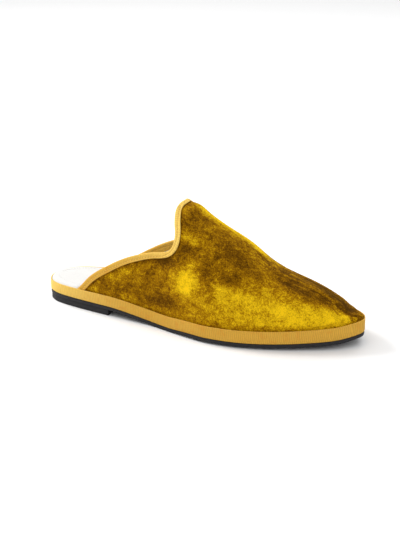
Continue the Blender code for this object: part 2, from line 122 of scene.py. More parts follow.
def feed(tree, socket, value):
    """Link a wire to a socket, or set the socket's own value."""
    if isinstance(value, Wire):
        tree.links.new(value.socket, socket)
    elif value is not None:
        socket.default_value = value


class Finish:
    """A material under construction: its nodes and its Principled shader."""

    def __init__(self, name, constants):
        self.material = bpy.data.materials.new(name)
        self.material.use_nodes = True
        self.tree = self.material.node_tree
        self.shader = self.tree.nodes["Principled BSDF"]
        for socket, value in constants.items():
            self.shader.inputs[socket].default_value = value

    def node(self, kind, settings=None, sockets=None, output=0):
        """Add any other node: its type, its settings, and its sockets' values or wires."""
        node = self.tree.nodes.new("ShaderNode" + kind)
        for name, value in (settings or {}).items():
            if name == "stops":
                set_stops(node.color_ramp, value)
            else:
                setattr(node, name, value)
        for name, value in (sockets or {}).items():
            feed(self.tree, node.inputs[name], value)
        return Wire(self.tree, node.outputs[output])

    def place(self):
        return self.node("TexCoord", output="Object")

    def axes(self, vector):
        split = self.node("SeparateXYZ", sockets={0: vector})
        outputs = split.socket.node.outputs
        return [Wire(self.tree, output) for output in outputs]

    def stretched(self, vector, scale, turn=(0.0, 0.0, 0.0)):
        return self.node("Mapping", sockets={"Vector": vector, "Scale": scale, "Rotation": turn})

    def noise(self, vector, cell, detail=2.0, roughness=0.5, distortion=0.0):
        """Noise whose blotches are about one cell wide, in metres."""
        return self.node(
            "TexNoise",
            sockets={
                "Vector": vector,
                "Scale": 1.0 / cell,
                "Detail": detail,
                "Roughness": roughness,
                "Distortion": distortion,
            },
        )

    def attribute(self, name):
        return self.node("Attribute", {"attribute_name": name}, output="Fac")

    def ramp(self, factor, stops):
        return self.node("ValToRGB", {"stops": stops}, {"Fac": factor})

    def mixed(self, factor, first, second, blend="MIX"):
        """Mix two colours."""
        settings = {"data_type": "RGBA", "blend_type": blend}
        return self.node("Mix", settings, {0: factor, 6: first, 7: second}, output=2)

    def span(self, value, start, end, low=0.0, high=1.0):
        """Map a value smoothly from start..end to low..high."""
        sockets = {0: value, 1: start, 2: end, 3: low, 4: high}
        return self.node("MapRange", {"interpolation_type": "SMOOTHSTEP"}, sockets)

    def bump(self, height, distance, strength=1.0, normal=None):
        sockets = {"Height": height, "Distance": distance, "Strength": strength, "Normal": normal}
        return self.node("Bump", sockets=sockets)

    def wear(self, colour=None, roughness=None, normal=None):
        """Feed what varies over the surface to the shader."""
        feed(self.tree, self.shader.inputs["Base Color"], colour)
        feed(self.tree, self.shader.inputs["Roughness"], roughness)
        feed(self.tree, self.shader.inputs["Normal"], normal)
        return self.material


def set_stops(ramp, stops):
    while len(ramp.elements) < len(stops):
        ramp.elements.new(1.0)
    for element, (place, colour) in zip(ramp.elements, stops):
        element.position = place
        element.color = colour


def opaque(colour):
    return (*colour, 1.0)


def shade(colour, factor):
    return (*(part * factor for part in colour[:3]), 1.0)


# Meshes
def clear_selection():
    bpy.ops.object.select_all(action="DESELECT")


def hold(piece):
    """Make a piece the only one selected, and active."""
    clear_selection()
    piece.select_set(True)
    bpy.context.view_layer.objects.active = piece


def copied_node(node, name):
    """A merged copy of a solid, in quads and without materials."""
    piece = bpy.data.objects.new(name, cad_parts[node].data.copy())
    bpy.context.scene.collection.objects.link(piece)
    piece.data.materials.clear()
    hold(piece)
    bpy.ops.mesh.customdata_custom_splitnormals_clear()
    bpy.ops.object.mode_set(mode="EDIT")
    bpy.ops.mesh.select_all(action="SELECT")
    bpy.ops.mesh.remove_doubles(threshold=MERGE_DISTANCE)
    bpy.ops.mesh.tris_convert_to_quads(face_threshold=QUAD_ANGLE, shape_threshold=QUAD_SHAPE)
    bpy.ops.object.mode_set(mode="OBJECT")
    return piece


def keep_sharp(piece, angle=SHARP_ANGLE, crease=1.0):
    """Crease the sharp edges, so that rounding keeps them."""
    hold(piece)
    bpy.ops.object.mode_set(mode="EDIT")
    bpy.ops.mesh.select_mode(type="EDGE")
    bpy.ops.mesh.select_all(action="DESELECT")
    bpy.ops.mesh.edges_select_sharp(sharpness=angle)
    bpy.ops.transform.edge_crease(value=crease)
    bpy.ops.mesh.select_all(action="DESELECT")
    bpy.ops.object.mode_set(mode="OBJECT")


def rounded(piece, levels):
    """Apply a Subdivision Surface and shade the piece smooth."""
    hold(piece)
    soften = piece.modifiers.new("soften", "SUBSURF")
    soften.levels = levels
    soften.render_levels = levels
    bpy.ops.object.modifier_apply(modifier=soften.name)
    bpy.ops.object.shade_smooth_by_angle(angle=SHARP_ANGLE)


def points_of(piece):
    places = np.empty(len(piece.data.vertices) * 3)
    piece.data.vertices.foreach_get("co", places)
    return places.reshape(-1, 3)


def normals_of(piece):
    normals = np.empty(len(piece.data.vertices) * 3)
    piece.data.vertices.foreach_get("normal", normals)
    return normals.reshape(-1, 3)


def set_points(piece, places):
    piece.data.vertices.foreach_set("co", places.ravel())
    piece.data.update()


def store(piece, name, values):
    """Keep one number for each point as an attribute that a material can read."""
    layer = piece.data.attributes.new(name, "FLOAT", "POINT")
    layer.data.foreach_set("value", np.asarray(values, np.float32))


def smooth_step(values, start, end):
    share = np.clip((values - start) / (end - start), 0.0, 1.0)
    return share * share * (3.0 - 2.0 * share)


def dress(piece, node, slot, *materials):
    """Give a piece its materials and its body, and hide the solid it stands for. The slot is not used."""
    for material in materials:
        piece.data.materials.append(material)
    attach(piece, BODY)
    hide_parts(node)


# Cotton, of the lining, the footbed's cover and the sewing thread
# Thick threads are drawn out along the foot: the smaller, the longer
SLUB_STRETCH = (0.15, 1.0, 1.0)
# How dark the cotton's darker spots are, and how deep its weave and its dents lie
COTTON_DARK = 0.88
WEAVE_DEPTH = 0.00012
DENT_DEPTH = 0.0008
# How dark and how light the fibres of a sewing thread are, and how deep they lie
FIBRE_DARK = 0.75
FIBRE_LIGHT = 1.1
FIBRE_DEPTH = 0.0001


def cotton(name, colour, looks):
    """Plain woven cotton."""
    cloth = Finish(name, {"Sheen Weight": 0.15, "Specular IOR Level": 0.2})
    place = cloth.place()
    x, y, z = cloth.axes(place)
    turns = 2.0 * math.pi / looks.weave_pitch
    warp = (x * turns).sine()
    weft = ((y + z) * turns).sine()
    soft = cloth.noise(place, cell=0.012, detail=3.0)
    slub = cloth.noise(cloth.stretched(place, SLUB_STRETCH), cell=0.0012, detail=2.0)
    mottled = cloth.mixed(soft * 0.5 + slub * 0.5, shade(colour, COTTON_DARK), opaque(colour))
    weave = cloth.bump(warp * weft + slub, WEAVE_DEPTH, strength=0.6)
    relief = cloth.bump(soft, DENT_DEPTH, strength=0.25, normal=weave)
    return cloth.wear(mottled, roughness=0.9, normal=relief)


def thread(name, colour):
    """Twisted sewing thread."""
    twine = Finish(name, {"Sheen Weight": 0.1, "Specular IOR Level": 0.2})
    fibre = twine.noise(twine.place(), cell=0.0003, detail=2.0)
    mottled = twine.mixed(fibre, shade(colour, FIBRE_DARK), shade(colour, FIBRE_LIGHT))
    relief = twine.bump(fibre, FIBRE_DEPTH, strength=0.5)
    return twine.wear(mottled, roughness=0.7, normal=relief)


# Upper
# How the nap lies, with painted light and shade: soft patches drawn lighter (+) or darker (-), in
# millimetres.
# Each is centred at x y z, reaches that far each way, and climbs by slope along the foot.
Patch = namedtuple("Patch", "x y z reach_x reach_y reach_z slope tone")
OUTER_NAP_AND_SHADING = (
    Patch(4, -35, 42, 11, 20, 11, 0.0, 0.34),
    Patch(42, -35, 39, 18, 20, 6, -0.35, 0.28),
    Patch(78, -27, 29, 15, 16, 6, -0.35, 0.26),
    Patch(109, -12, 26, 9, 7, 5, -0.50, 0.40),
    Patch(3, -20, 72, 12, 12, 3.5, -0.30, 0.24),
    Patch(5, -14, 78.5, 8, 9, 3, -0.50, -0.13),
    Patch(14, -24, 64, 14, 14, 6, -0.30, -0.20),
    Patch(-14, -30, 52, 12, 12, 6, 0.20, -0.22),
    Patch(32, -28, 54, 12, 14, 8, -0.30, -0.14),
    Patch(-1, -27, 62, 9, 12, 5.5, 0.20, -0.24),
    Patch(3, -10, 82, 9, 9, 7, -0.60, -0.20),
    Patch(20, -33, 51, 4.5, 14, 9, 0.0, -0.26),
    Patch(27, -15, 67, 9, 10, 5, -0.50, -0.20),
    Patch(39, -32, 46, 6, 12, 7, 0.0, -0.22),
    Patch(-21, -33, 22, 14, 14, 5, 0.05, -0.34),
    Patch(53, -14, 51, 14, 10, 6, -0.55, -0.18),
    Patch(-42, -29, 38, 5, 12, 5, 0.3, -0.05),
    Patch(-30, -30, 42, 6, 12, 6, 0.0, -0.14),
    Patch(-50, -29, 26, 14, 12, 6, 0.2, -0.13),
    Patch(-14, -34, 29, 12, 14, 6, 0.0, -0.12),
    Patch(-30, -30, 35, 30, 14, 12, 0.1, -0.06),
    Patch(44, -39, 26, 18, 14, 7, -0.2, 0.14),
    Patch(92, -24, 24, 24, 14, 7, -0.25, 0.24),
    Patch(88, -17, 32, 10, 8, 4, -0.4, 0.16),
    Patch(78, -31, 20, 46, 14, 3.5, -0.08, 0.20),
    Patch(-8, -31, 60, 5, 12, 6, 0.0, 0.22),
    Patch(-22, -29, 55, 7, 12, 4, 0.3, -0.14),
    Patch(22, -27, 58, 6, 10, 4, -0.3, 0.18),
    Patch(6, -35, 38, 7, 12, 5, 0.0, 0.18),
    Patch(-62, -29, 33, 7, 12, 4, 0.3, 0.14),
    Patch(34, -7, 69, 8, 8, 4, -0.5, -0.14),
    Patch(86, -11, 38, 9, 7, 4, -0.5, -0.14),
    Patch(102, -13, 30, 9, 6, 3.5, -0.5, -0.12),
    Patch(112, -9, 22, 16, 10, 4, -0.10, 0.26),
    Patch(-12, -28, 56, 8, 12, 4, 0.0, -0.22),
    Patch(60, -33, 30, 10, 12, 3, -0.10, 0.18),
    Patch(98, -15, 28, 6, 6, 3, -0.40, 0.20),
    Patch(30, -41, 20, 30, 14, 3, -0.20, 0.08),
    Patch(-72, -28, 28, 8, 12, 6, 0.30, -0.10),
    Patch(58, -10, 48, 10, 8, 5, -0.50, 0.13),
    Patch(35, -38, 32, 6, 12, 4, 0.0, 0.14),
    Patch(0, -38, 28, 7, 14, 6, 0.0, -0.14),
    Patch(-46, -29, 40, 14, 12, 5, 0.40, 0.11),
    Patch(6, -31, 50, 4, 12, 14, 0.0, 0.13),
    Patch(114, -3, 28, 6, 5, 4, -0.50, -0.15),
    Patch(26, -33, 46, 5, 12, 4, 0.0, -0.16),
    Patch(38, -20, 58, 10, 10, 3.5, -0.40, -0.12),
    Patch(62, -20, 43, 5, 10, 3, -0.40, 0.14),
    Patch(50, -32, 37, 5, 10, 3, -0.30, 0.12),
)
INNER_NAP_AND_SHADING = (
    Patch(0, 32, 48, 16, 16, 10, -0.3, 0.34),
    Patch(36, 36, 40, 16, 16, 6, -0.3, -0.26),
    Patch(40, 32, 52, 18, 16, 5, -0.4, 0.24),
    Patch(70, 33, 27, 22, 16, 8, -0.3, 0.36),
    Patch(100, 20, 25, 12, 12, 7, -0.4, 0.18),
    Patch(-34, 30, 30, 12, 16, 9, 0.2, -0.20),
    Patch(-60, 29, 24, 12, 16, 6, 0.3, 0.22),
    Patch(14, 26, 68, 9, 12, 6, -0.4, -0.18),
    Patch(96, 24, 33, 10, 10, 4, -0.4, -0.20),
)
RIDGE_NAP_AND_SHADING = (
    Patch(14, 8, 78, 22, 7, 12, -0.60, 0.26),
    Patch(46, 13, 58, 14, 6, 12, -0.60, 0.42),
    Patch(62, -1, 49, 16, 8, 20, -0.45, -0.12),
    Patch(82, 3, 42, 18, 11, 20, -0.40, -0.25),
    Patch(105, 4, 34, 16, 10, 20, -0.50, -0.32),
    Patch(121, 4, 26, 8, 7, 20, -0.50, -0.34),
    Patch(105, 0, 34, 12, 2.2, 20, -0.50, 0.12),
    Patch(97, -2, 37, 6, 5, 4, -0.50, 0.14),
)
# The nap's tone where no patch lies
NAP_BASE = 0.46
# The outer side's patches give way to the inner side's this near the middle, in millimetres
SIDE_BLEND = 6.0

# Creases of the velvet, in millimetres: a line on the surface seen from above, from
# x1 y1 over a bow at its middle to x2 y2, raised (+) or sunk (-) by height
# and painted lighter (+) or darker (-) by tone: painted highlight and painted shade
Crease = namedtuple("Crease", "x1 y1 x2 y2 bow height width tone")
CREASES = (
    Crease(-6, 2.6, 52, 12.0, -1.2, 0.0, 4.5, 0.30),
    Crease(24, 4.5, 48, 9.5, 0.0, -0.3, 1.2, -0.26),
    Crease(34, 1.5, 60, 4.0, 0.6, -0.3, 1.1, -0.22),
    Crease(44, 14.5, 84, 17.0, 1.0, -0.4, 1.6, -0.16),
    Crease(50, 8.0, 116, 9.5, 2.0, -0.6, 2.2, -0.20),
    Crease(60, -2.0, 122, 0.5, 1.2, 0.6, 1.8, 0.12),
    Crease(64, -9.0, 121, -4.0, -2.0, -0.7, 2.2, -0.22),
    Crease(72, -5.0, 120, -2.0, -0.6, -0.3, 1.0, -0.20),
    Crease(106, -5.4, 126, -4.0, -0.6, 0.25, 2.0, 0.42),
    Crease(78, -20.3, 97, -20.4, -0.5, -0.4, 1.2, -0.16),
    Crease(28, -12.0, 60, -14.0, -2.0, -0.5, 4.0, -0.08),
    Crease(20, 22.0, 60, 26.0, 2.0, -0.5, 4.0, -0.10),
)
# Each crease fades in and out over this length at its ends, in millimetres
CREASE_FADE = 7.0
# Creases start at this height above the sole band's foot, and are full at twice the height
BAND_SHELTER = 0.010
# They start on faces that point outwards by the first share, and are full at the second
OUTER_FACING = (0.1, 0.4)
# Painted shade beside the topline binding, where the binding shades the velvet: how dark, and how far
# from it
HEM_SHADE = -0.24
HEM_REACH = 0.0016
# The nap lies in streaks about a line at y, more and more from start to full, in millimetres
Streaks = namedtuple("Streaks", "y reach_y start full")
RIDGE_STREAKS = Streaks(2.0, 13.0, 20.0, 60.0)
# The velvet's mottling, from coarse to fine: how wide its spots are, and how much they tell
Mottle = namedtuple("Mottle", "cell weight")
CLOUDS = Mottle(0.010, 0.60)
CRUSH = Mottle(0.0042, 0.60)
FINE_LINES = Mottle(0.0022, 1.2)
GRAIN = Mottle(0.0015, 0.50)
PILE = Mottle(0.0007, 0.85)
# How deep the pile lies
PILE_DEPTH = 0.0004
# The crushed spots and the fine lines are drawn out along the foot: the smaller, the longer
CRUSH_STRETCH = (0.7, 1.0, 1.0)
LINE_STRETCH = (0.10, 1.0, 1.0)
# The middle line that outward directions are told from ends here, short of the toe tip
TOE_HUB = HIGH.x - 0.045
# The sole band's edges are measured at this many places along the shoe
BAND_STATIONS = 40
# The velvet puffs out over the sole band: how far, and from where above the band's top to where
PUFF = 0.0006
PUFF_START = 0.0004
PUFF_END = 0.0055
# Towards the tip of the toe the velvet sinks to the band: from where, and by what share
TIP_START = HIGH.x - 0.022
TIP_DROP = 0.6
# In front of the tongue's peak the cloth stays full: how high, where, how far, and above what
PEAK_FILL = 0.0014
PEAK_X = -0.001
PEAK_REACH_X = 0.0055
PEAK_REACH_Y = 0.010
PEAK_FOOT = (0.078, 0.086)


def nap_and_shading(places):
    """How bright the nap lies at each point, with painted light and shade, before the fine grain."""
    x, y, z = (places / MM).T
    tone = np.full(len(places), NAP_BASE)
    outer = 1.0 - smooth_step(y, -SIDE_BLEND, SIDE_BLEND)
    groups = ((OUTER_NAP_AND_SHADING, outer), (INNER_NAP_AND_SHADING, 1.0 - outer), (RIDGE_NAP_AND_SHADING, 1.0))
    for patches, side in groups:
        for patch in patches:
            along = (x - patch.x) / patch.reach_x
            across = (y - patch.y) / patch.reach_y
            up = (z - patch.z - patch.slope * (x - patch.x)) / patch.reach_z
            tone += side * patch.tone * np.exp(-(along**2 + across**2 + up**2))
    return tone


def streakiness(places):
    """How far the nap lies in long streaks, as it does along the ridge to the toe."""
    x, y, _ = (places / MM).T
    near_ridge = np.exp(-(((y - RIDGE_STREAKS.y) / RIDGE_STREAKS.reach_y) ** 2))
    return near_ridge * smooth_step(x, RIDGE_STREAKS.start, RIDGE_STREAKS.full)


def painted_hem_shade(places):
    """Painted shade in a narrow line beside the topline binding, where the binding shades the velvet."""
    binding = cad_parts["topline_binding"]
    nearest = [binding.closest_point_on_mesh(place)[1] for place in places]
    away = np.linalg.norm(np.array(nearest) - places, axis=1)
    return HEM_SHADE * np.exp(-((away / HEM_REACH) ** 2))


def crease_marks(places):
    """Height of the creases at each point, in metres, and their painted highlight and shade."""
    x, y, _ = (places / MM).T
    height = np.zeros(len(places))
    tone = np.zeros(len(places))
    for crease in CREASES:
        share = np.clip((x - crease.x1) / (crease.x2 - crease.x1), 0.0, 1.0)
        line = crease.y1 + (crease.y2 - crease.y1) * share + crease.bow * np.sin(share * math.pi)
        start = smooth_step(x, crease.x1, crease.x1 + CREASE_FADE)
        end = 1.0 - smooth_step(x, crease.x2 - CREASE_FADE, crease.x2)
        profile = np.exp(-(((y - line) / crease.width) ** 2)) * start * end
        height += crease.height * profile
        tone += crease.tone * profile
    return height * MM, tone


def outward(places, directions):
    """How far each direction points away from the shoe's middle line."""
    middle = np.zeros_like(places)
    middle[:, 0] = np.minimum(places[:, 0], TOE_HUB)
    middle[:, 2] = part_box("insole")[0].z
    away = places - middle
    away /= np.maximum(np.linalg.norm(away, axis=1), MERGE_DISTANCE)[:, None]
    return np.einsum("ij,ij->i", away, directions)


def band_edges(x):
    """Heights of the sole band's foot and top along the shoe."""
    band = points_of(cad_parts["sole_band"])
    stations = np.linspace(band[:, 0].min(), band[:, 0].max(), BAND_STATIONS)
    reach = SHOE_LENGTH / BAND_STATIONS
    near = [band[np.abs(band[:, 0] - station) < reach, 2] for station in stations]
    base = np.interp(x, stations, [heights.min() for heights in near])
    top = np.interp(x, stations, [heights.max() for heights in near])
    return base, top


def settle_toe(piece):
    """Bring the tip of the toe down towards the band, as soft cloth lies."""
    places = points_of(piece)
    _, top = band_edges(places[:, 0])
    over = np.maximum(places[:, 2] - top, 0.0)
    places[:, 2] -= TIP_DROP * smooth_step(places[:, 0], TIP_START, HIGH.x) * over
    set_points(piece, places)


def fill_peak(piece):
    """Keep the ridge full just in front of the tongue's peak."""
    places = points_of(piece)
    along = (places[:, 0] - PEAK_X) / PEAK_REACH_X
    across = places[:, 1] / PEAK_REACH_Y
    share = smooth_step(places[:, 2], *PEAK_FOOT) * np.exp(-(along**2) - across**2)
    places[:, 2] += PEAK_FILL * share
    set_points(piece, places)


def press_creases(piece):
    """Raise and sink the outer face along the creases, and puff it out over the sole band."""
    places = points_of(piece)
    normals = normals_of(piece)
    facing = smooth_step(outward(places, normals), *OUTER_FACING)
    base, top = band_edges(places[:, 0])
    clear = smooth_step(places[:, 2] - base, BAND_SHELTER, 2.0 * BAND_SHELTER)
    above = places[:, 2] - top
    peak = 0.5 * (PUFF_START + PUFF_END)
    puff = smooth_step(above, PUFF_START, peak) * (1.0 - smooth_step(above, peak, PUFF_END))
    height, _ = crease_marks(places)
    places += normals * ((height * clear + PUFF * puff) * facing)[:, None]
    set_points(piece, places)


def line_inner_faces(piece):
    """Give the faces that look inwards the second material, the lining."""
    count = len(piece.data.polygons)
    centres = np.empty(count * 3)
    normals = np.empty(count * 3)
    piece.data.polygons.foreach_get("center", centres)
    piece.data.polygons.foreach_get("normal", normals)
    inside = outward(centres.reshape(-1, 3), normals.reshape(-1, 3)) < 0.0
    piece.data.polygons.foreach_set("material_index", inside.astype(np.int32))


def velvet(looks):
    """Crushed velvet: patches of nap with painted light and shade, mottling, fine lines and a grain of
    pile tips.
    """
    cloth = Finish(
        "velvet",
        {"Sheen Weight": 0.12, "Sheen Roughness": 0.3, "Specular IOR Level": 0.05},
    )
    cloth.shader.inputs["Sheen Tint"].default_value = opaque(looks.velvet_bright)
    place = cloth.place()
    drawn_out = cloth.stretched(place, CRUSH_STRETCH)
    clouds = cloth.noise(place, CLOUDS.cell, detail=3.0, roughness=0.6, distortion=0.8)
    crush = cloth.noise(drawn_out, CRUSH.cell, detail=2.0, roughness=0.6, distortion=0.6)
    lines = cloth.noise(cloth.stretched(place, LINE_STRETCH), FINE_LINES.cell, detail=2.0, roughness=0.6)
    grain = cloth.noise(place, GRAIN.cell, detail=1.0, roughness=0.6)
    pile = cloth.noise(place, PILE.cell, detail=1.0, roughness=0.6)
    streaked = cloth.attribute("streak")
    # The nap attribute holds the nap's tone with painted light and shade: patches, creases and beside the
    # binding
    tone = cloth.attribute("nap")
    tone = tone + (clouds - 0.5) * CLOUDS.weight + (crush - 0.5) * CRUSH.weight * (1.0 - streaked)
    tone = tone + (lines - 0.5) * FINE_LINES.weight * streaked
    tone = tone + (grain - 0.5) * GRAIN.weight + (pile - 0.5) * PILE.weight
    colour = cloth.ramp(
        tone.clamped(),
        (
            (0.0, shade(looks.velvet_dark, 0.5)),
            (0.22, opaque(looks.velvet_dark)),
            (0.50, opaque(looks.velvet_mid)),
            (0.80, opaque(looks.velvet_bright)),
            (1.0, shade(looks.velvet_bright, 1.25)),
        ),
    )
    relief = cloth.bump(grain + pile * 0.5 + lines * streaked, PILE_DEPTH, strength=0.8)
    rough = cloth.span(clouds, 0.3, 0.7, low=0.98, high=0.85)
    return cloth.wear(colour, rough, relief)


def make_upper(looks):
    """Velvet upper with its lining: the solid's own form, rounded, creased and napped, with painted light
    and shade.
    """
    piece = copied_node("upper", "upper_cloth")
    keep_sharp(piece)
    rounded(piece, looks.cloth_levels)
    places = points_of(piece)
    _, crease_shading = crease_marks(places)
    # The nap attribute: patches of nap with painted light and shade, painted highlight and shade along
    # the creases, and painted shade beside the binding
    store(piece, "nap", nap_and_shading(places) + crease_shading + painted_hem_shade(places))
    store(piece, "streak", streakiness(places))
    settle_toe(piece)
    fill_peak(piece)
    press_creases(piece)
    dress(piece, "upper", "velvet", velvet(looks), cotton("upper_lining", looks.lining, looks))
    line_inner_faces(piece)


# Paths along an edge
# From one sample to the next, and how many times the path is smoothed
PATH_STEP = 0.0005
PATH_SMOOTHING = 3
# In how many bins each path is looked for
BAND_BINS = 120
BINDING_BINS = 110
FOOTBED_BINS = 130


def course(piece, keys, best, bins, closed=False):
    """A path through the point of each bin whose best value is least: its samples and lengths."""
    places = points_of(piece)
    edges = np.linspace(keys.min(), keys.max(), bins + 1)
    found = []
    for low, high in zip(edges, edges[1:]):
        inside = np.flatnonzero((keys >= low) & (keys <= high))
        if len(inside):
            found.append(places[inside[np.argmin(best[inside])]])
    if closed:
        found.append(found[0])
    found = np.array(found)
    for _ in range(PATH_SMOOTHING):
        found[1:-1] = (found[:-2] + 2.0 * found[1:-1] + found[2:]) / 4.0
    runs = np.linalg.norm(np.diff(found, axis=0), axis=1)
    lengths = np.concatenate([[0.0], np.cumsum(runs)])
    samples = np.arange(0.0, lengths[-1], PATH_STEP)
    path = np.stack([np.interp(samples, lengths, found[:, axis]) for axis in range(3)], axis=1)
    return path, samples


# Stitches
STITCH_SIDES = 6
STITCH_PARTS = 4
# Shares of the thread's radius: how much thinner its ends are, how high its middle stands,
# and how much lower its ends lie
END_TAPER = 0.45
MIDDLE_RISE = 0.7
END_DIVE = 1.6
# A seam is looked for from this far outside, where its strip's points weigh more than this
SEAM_LIFT = 0.006
SEAM_WEIGHT = 0.5


def seam_points(piece, places, normals, along, pitch):
    """Points on a piece and their normals, one stitch apart, along a strip of its points."""
    row = []
    for run in np.arange(pitch, along.max() - pitch, pitch):
        weights = np.exp(-(((along - run) / pitch) ** 2))
        if weights.sum() > SEAM_WEIGHT:
            outward_way = Vector(weights @ normals).normalized()
            start = Vector(weights @ places / weights.sum()) + outward_way * SEAM_LIFT
            found, place, normal, _ = piece.ray_cast(start, -outward_way)
            if found:
                row.append((place.copy(), normal.copy()))
    return row


def one_stitch(looks):
    """A short thread along X whose ends dive into the cloth."""
    half = looks.stitch_length / 2.0
    radius = looks.stitch_width / 2.0
    clear_selection()
    bpy.ops.mesh.primitive_circle_add(
        vertices=STITCH_SIDES,
        radius=radius,
        fill_type="NGON",
        location=(-half, 0.0, 0.0),
        rotation=(0.0, math.pi / 2.0, 0.0),
    )
    stitch = bpy.context.object
    bpy.ops.object.transform_apply(location=True, rotation=True, scale=False)
    bpy.ops.object.mode_set(mode="EDIT")
    bpy.ops.mesh.select_all(action="SELECT")
    for _ in range(STITCH_PARTS):
        step = (looks.stitch_length / STITCH_PARTS, 0.0, 0.0)
        bpy.ops.mesh.extrude_region_move(TRANSFORM_OT_translate={"value": step})
    bpy.ops.mesh.select_all(action="SELECT")
    bpy.ops.mesh.normals_make_consistent(inside=False)
    bpy.ops.object.mode_set(mode="OBJECT")
    places = points_of(stitch)
    share = places[:, 0] / half
    places[:, 1:] *= (1.0 - END_TAPER * share**2)[:, None]
    places[:, 2] += radius * (MIDDLE_RISE - END_DIVE * share**2)
    set_points(stitch, places)
    bpy.ops.object.shade_smooth()
    return stitch


def sew(name, row, material, looks):
    """Set one stitch after another along a row of points, as one piece."""
    pattern = one_stitch(looks)
    stitches = []
    for (before, _), (place, normal), (after, _) in zip(row, row[1:], row[2:]):
        forward = (after - before).normalized()
        side = normal.cross(forward).normalized()
        turn = Matrix((forward, side, forward.cross(side))).transposed().to_4x4()
        stitch = pattern.copy()
        stitch.data = pattern.data.copy()
        stitch.data.transform(Matrix.Translation(place) @ turn)
        bpy.context.scene.collection.objects.link(stitch)
        stitches.append(stitch)
    bpy.data.objects.remove(pattern)
    clear_selection()
    for stitch in stitches:
        stitch.select_set(True)
    bpy.context.view_layer.objects.active = stitches[0]
    bpy.ops.object.join()
    piece = bpy.context.object
    piece.name = name
    piece.data.materials.append(material)
    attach(piece, BODY)


# Ribbons
RIBBON_LEVELS = 2
# How sharp the folds of the ribbons stay
BAND_CREASE = 0.5
BINDING_CREASE = 0.6
# The point that the topline turns around, seen from the side, in millimetres
TOPLINE_HUB = (-75.0, 75.0)
# The binding's outer side is this wide and faces outwards by more than this share
BINDING_WIDTH = 0.0042
BINDING_FACING = 0.3
# It is sewn down this far in from its edge, on a strip that reaches this far to either side
STITCH_INSET = 0.0009
STITCH_REACH = 0.0007
# A ribbon's threads are this far apart, and its ribs lean by this share and wander this far
THREAD_PITCH = 0.0004
RIB_LEAN = 0.12
RIB_WANDER = 0.0003
RIB_DEPTH = 0.00022
# How dark it is between its ribs, and how light on them and along its edge
RIB_DARK = 0.74
RIB_LIGHT = 1.12
EDGE_LIGHT = 1.2
# How much its blotches, its edge, its sewn line and its join change the colour
BLOTCH_SHARE = 0.4
EDGE_SHARE = 0.5
SEAM_SHARE = 0.22
JOIN_SHARE = 0.6
# How far from its middle each line is full, and how far it reaches
EDGE_LINE = (0.0002, 0.0007)
SEAM_LINE = (0.0001, 0.0005)
JOIN_LINE = (0.0002, 0.0006)
# Painted light: heights between which the binding is drawn paler, as where light falls on it, and places
# where the sole band is, towards the heel
PALE_HEIGHTS = (0.035, 0.075)
PALE_PLACES = (-0.03, -0.14)


def unroll(piece, path, lengths, across, closed):
    """Lay a UV map along a ribbon: its length in metres, and the distance across it."""
    tree = KDTree(len(path))
    for i, point in enumerate(path):
        tree.insert(point, i)
    tree.balance()
    places = points_of(piece)
    nearest = [tree.find(point)[1] for point in places]
    along = lengths[nearest]
    off = across(places, path[nearest])
    layer = piece.data.uv_layers.new(name="ribbon")
    whole = lengths[-1] + PATH_STEP
    for face in piece.data.polygons:
        runs = [along[piece.data.loops[i].vertex_index] for i in face.loop_indices]
        wraps = closed and max(runs) - min(runs) > whole / 2.0
        for i, run in zip(face.loop_indices, runs):
            if wraps and run < whole / 2.0:
                run += whole
            layer.data[i].uv = (run, off[piece.data.loops[i].vertex_index])
    return along, off


def height_across(places, near):
    return places[:, 2] - near[:, 2]


def distance_across(places, near):
    return np.linalg.norm(places - near, axis=1)


def tinted(cloth, colour, factor):
    """A varying colour made darker or lighter all over."""
    return cloth.mixed(1.0, colour, opaque((factor, factor, factor)), "MULTIPLY")


def ribbon(name, looks, width, sewn):
    """Grosgrain ribbon: cross ribs, a woven edge, blotches of dye, painted light where it is paler, and a
    sewn line or its join.
    """
    cloth = Finish(name, {"Sheen Weight": 0.05, "Specular IOR Level": 0.12})
    u, v, _ = cloth.axes(cloth.node("UVMap", {"uv_map": "ribbon"}))
    place = cloth.place()
    x, _, z = cloth.axes(place)
    wander = (cloth.noise(place, cell=0.004, detail=2.0) - 0.5) * RIB_WANDER
    phase = (u + v * RIB_LEAN + wander) * (2.0 * math.pi / looks.rib_pitch)
    rib = phase.sine() * 0.5 + 0.5
    threads = (v * (2.0 * math.pi / THREAD_PITCH)).sine() * 0.5 + 0.5
    edge = 1.0 - cloth.span((v - width).size(), *EDGE_LINE)
    fibre = cloth.noise(place, cell=0.0006, detail=2.0, roughness=0.7)
    uneven = cloth.noise(place, cell=0.006, detail=2.0, roughness=0.5, distortion=0.5)
    blotch = cloth.span(uneven, 0.5, 0.75)
    # Painted light: the ribbon is drawn paler high on the binding and towards the band's heel, where
    # light falls on it
    lit = cloth.span(z, *PALE_HEIGHTS) if sewn else cloth.span(x, *PALE_PLACES)
    ground = cloth.mixed(lit, opaque(looks.ribbon), opaque(looks.ribbon_pale))
    dark = tinted(cloth, ground, RIB_DARK)
    light = tinted(cloth, ground, RIB_LIGHT)
    colour = cloth.mixed(rib * 0.5 + fibre * 0.5, dark, light)
    colour = cloth.mixed(blotch * (1.0 - lit) * BLOTCH_SHARE, colour, opaque(looks.ribbon_blotch))
    colour = cloth.mixed(edge * EDGE_SHARE, colour, tinted(cloth, ground, EDGE_LIGHT))
    height = rib + threads * 0.2 + fibre * 0.3
    if sewn:
        seam = 1.0 - cloth.span((v - (width - STITCH_INSET)).size(), *SEAM_LINE)
        colour = cloth.mixed(seam * SEAM_SHARE, colour, opaque(looks.velvet_mid))
        height = height - seam
    else:
        join = 1.0 - cloth.span(u, *JOIN_LINE)
        colour = cloth.mixed(join * JOIN_SHARE, colour, opaque(looks.velvet_mid))
        height = height - join
    relief = cloth.bump(height, RIB_DEPTH, strength=0.7)
    return cloth.wear(colour, roughness=0.8, normal=relief)


